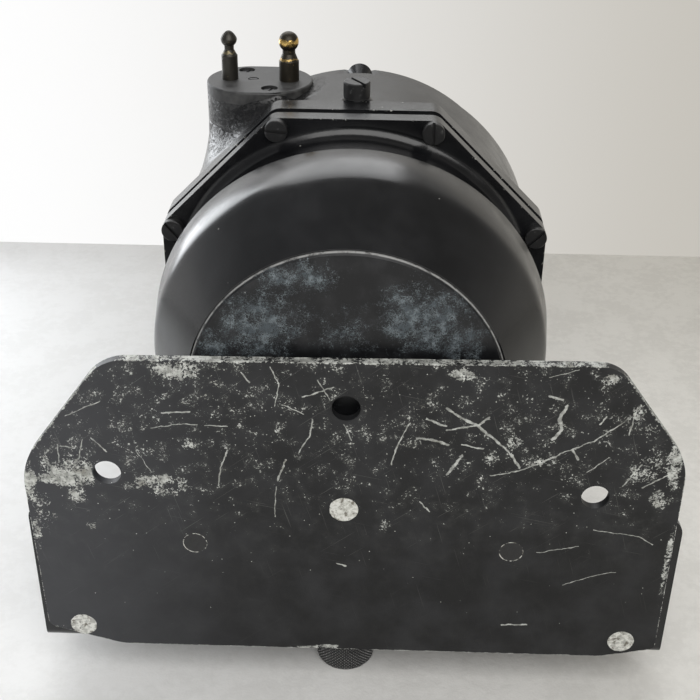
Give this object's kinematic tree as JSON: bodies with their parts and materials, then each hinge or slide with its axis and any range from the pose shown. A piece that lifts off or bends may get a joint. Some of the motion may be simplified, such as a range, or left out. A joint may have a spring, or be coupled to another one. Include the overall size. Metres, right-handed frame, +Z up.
{
  "type": "magnetic compass",
  "caption": "Liquid-filled drum compass with an octagonal flanged joint, a floating card behind a domed window, geared corrector magnets, a lamp connector and a riveted plate bracket.",
  "frame": {"origin": "centre of the upper mounting hole on the back face of the mounting plate, where the drum's axis meets that face", "axes": "+Y along the drum's axis, out of the back face of the mounting plate; the window faces -Y; +Z up; +X to the side with the lamp connector"},
  "size_m": [0.1251, 0.0871, 0.1174],
  "materials": {
    "body_enamel": "semi-gloss black enamel, worn on edges",
    "plate_enamel": "semi-gloss black enamel, scratched to bare metal",
    "disc_enamel": "black enamel rubbed to a mottled grey",
    "rivet_metal": "bare, scratched",
    "rivet_enamel": "painted over with the plate",
    "screw_black": "blackened steel with bright slots",
    "knob_black": "blackened, diamond knurled",
    "gasket_rubber": "matt",
    "insulator": "black phenolic",
    "pin_brass": "polished ball, dark neck",
    "pin_bronze": "dark patina",
    "window_glass": "clear",
    "mask_black": "matt black",
    "card_paint": "matt black with pale plain figures",
    "luminous_paint": "pale luminous paint",
    "float_metal": "satin",
    "magnet_steel": "ground",
    "gear_brass": "satin",
    "spindle_brass": "satin, slotted head",
    "bright_steel": "polished",
    "jewel": "polished synthetic stone in a rod",
    "bellows_brass": "thin rolled",
    "lamp_glass": "clear",
    "lamp_metal": "satin"
  },
  "bodies": {
    "compass": {"mount_plate": "plate_enamel", "shelf_bracket": "plate_enamel", "center_rivet": "rivet_metal", "side_rivets": "rivet_enamel", "corner_rivets": "rivet_metal", "base_foot": "body_enamel", "corrector_housing": "body_enamel", "corrector_screws": "screw_black", "corrector_axles": "bright_steel", "bowl_body": "body_enamel", "cover_gasket": "gasket_rubber", "rear_cover": "body_enamel", "cover_screws": "screw_black", "rear_cap": "body_enamel", "rear_disc": "disc_enamel", "capsule_foot": "lamp_metal", "capsule_bellows": "bellows_brass", "filler_plug": "screw_black", "filler_washer": "gasket_rubber", "bezel_ring": "body_enamel", "bezel_screws": "screw_black", "window_glass": "window_glass", "window_gasket": "gasket_rubber", "mask_ring": "mask_black", "lubber_line": "luminous_paint", "stem_post": "lamp_metal", "stem_spring": "bright_steel", "jewel_cup": "jewel", "connector_block": "insulator", "contact_pin_large": "pin_brass", "contact_pin_small": "pin_bronze", "connector_screws": "screw_black", "connector_center_screw": "screw_black", "lamp_socket": "lamp_metal", "lamp_bulb": "lamp_glass", "lamp_window": "lamp_glass"},
    "thumbscrew_rear": {"thumbscrew_rear": "knob_black"},
    "thumbscrew_front_left": {"thumbscrew_front_left": "knob_black"},
    "thumbscrew_front_right": {"thumbscrew_front_right": "knob_black"},
    "c_spindle": {"c_spindle": "spindle_brass"},
    "b_spindle": {"b_spindle": "spindle_brass"},
    "c_upper": {"c_upper_wheel": "gear_brass", "c_upper_magnets": "magnet_steel"},
    "c_lower": {"c_lower_wheel": "gear_brass", "c_lower_magnets": "magnet_steel"},
    "b_upper": {"b_upper_wheel": "gear_brass", "b_upper_magnets": "magnet_steel"},
    "b_lower": {"b_lower_wheel": "gear_brass", "b_lower_magnets": "magnet_steel"},
    "pivot_ball": {"pivot_ball": "bright_steel"},
    "pivot_pin": {"pivot_pin": "bright_steel"},
    "card": {"card_float": "float_metal", "card_dial": "card_paint", "magnet_holder": "float_metal", "card_magnets": "magnet_steel"},
    "capsule_end": {"capsule_end": "bellows_brass"}
  },
  "joints": [
    {"name": "rear_screw_turn", "type": "hinge", "parent": "compass", "child": "thumbscrew_rear", "pos_m": [0, -0.0105, -0.0592], "axis": [0, 0, 1], "range_deg": [-540, 0]},
    {"name": "front_left_screw_turn", "type": "hinge", "parent": "compass", "child": "thumbscrew_front_left", "pos_m": [0.024, -0.062, -0.0592], "axis": [0, 0, 1], "range_deg": [-540, 0]},
    {"name": "front_right_screw_turn", "type": "hinge", "parent": "compass", "child": "thumbscrew_front_right", "pos_m": [-0.024, -0.062, -0.0592], "axis": [0, 0, 1], "range_deg": [-540, 0]},
    {"name": "c_spindle_turn", "type": "hinge", "parent": "compass", "child": "c_spindle", "pos_m": [-0.0095, -0.078, -0.0475], "axis": [0, 1, 0], "range_deg": [-270, 270]},
    {"name": "b_spindle_turn", "type": "hinge", "parent": "compass", "child": "b_spindle", "pos_m": [0.022, -0.0625, -0.0475], "axis": [1, 0, 0], "range_deg": [-270, 270]},
    {"name": "c_upper_turn", "type": "hinge", "parent": "compass", "child": "c_upper", "pos_m": [-0.0095, -0.0625, -0.0475], "axis": [0, 0, 1], "range_deg": [-91, 91]},
    {"name": "c_lower_turn", "type": "hinge", "parent": "compass", "child": "c_lower", "pos_m": [-0.0095, -0.0625, -0.0475], "axis": [0, 0, 1], "range_deg": [-91, 91]},
    {"name": "b_upper_turn", "type": "hinge", "parent": "compass", "child": "b_upper", "pos_m": [0.0095, -0.0625, -0.0475], "axis": [0, 0, 1], "range_deg": [-91, 91]},
    {"name": "b_lower_turn", "type": "hinge", "parent": "compass", "child": "b_lower", "pos_m": [0.0095, -0.0625, -0.0475], "axis": [0, 0, 1], "range_deg": [-91, 91]},
    {"name": "card_pitch", "type": "hinge", "parent": "compass", "child": "pivot_ball", "pos_m": [0, -0.052, 0.004], "axis": [1, 0, 0], "range_deg": [-12, 12]},
    {"name": "card_roll", "type": "hinge", "parent": "pivot_ball", "child": "pivot_pin", "pos_m": [0, -0.052, 0.004], "axis": [0, 1, 0], "range_deg": [-12, 12]},
    {"name": "card_turn", "type": "hinge", "parent": "pivot_pin", "child": "card", "pos_m": [0, -0.052, 0.004], "axis": [0, 0, 1], "continuous": true},
    {"name": "capsule_breathe", "type": "slide", "parent": "compass", "child": "capsule_end", "axis": [0, 1, 0], "range_m": [-0.0008, 0.0008], "stiffness_N_per_m": 500, "deforming": ["capsule_bellows"]}
  ],
  "couplings": [
    {"joint": "c_upper_turn", "follows": "c_spindle_turn", "ratio": 0.33333},
    {"joint": "c_lower_turn", "follows": "c_spindle_turn", "ratio": -0.33333},
    {"joint": "b_upper_turn", "follows": "b_spindle_turn", "ratio": -0.33333},
    {"joint": "b_lower_turn", "follows": "b_spindle_turn", "ratio": 0.33333}
  ]
}
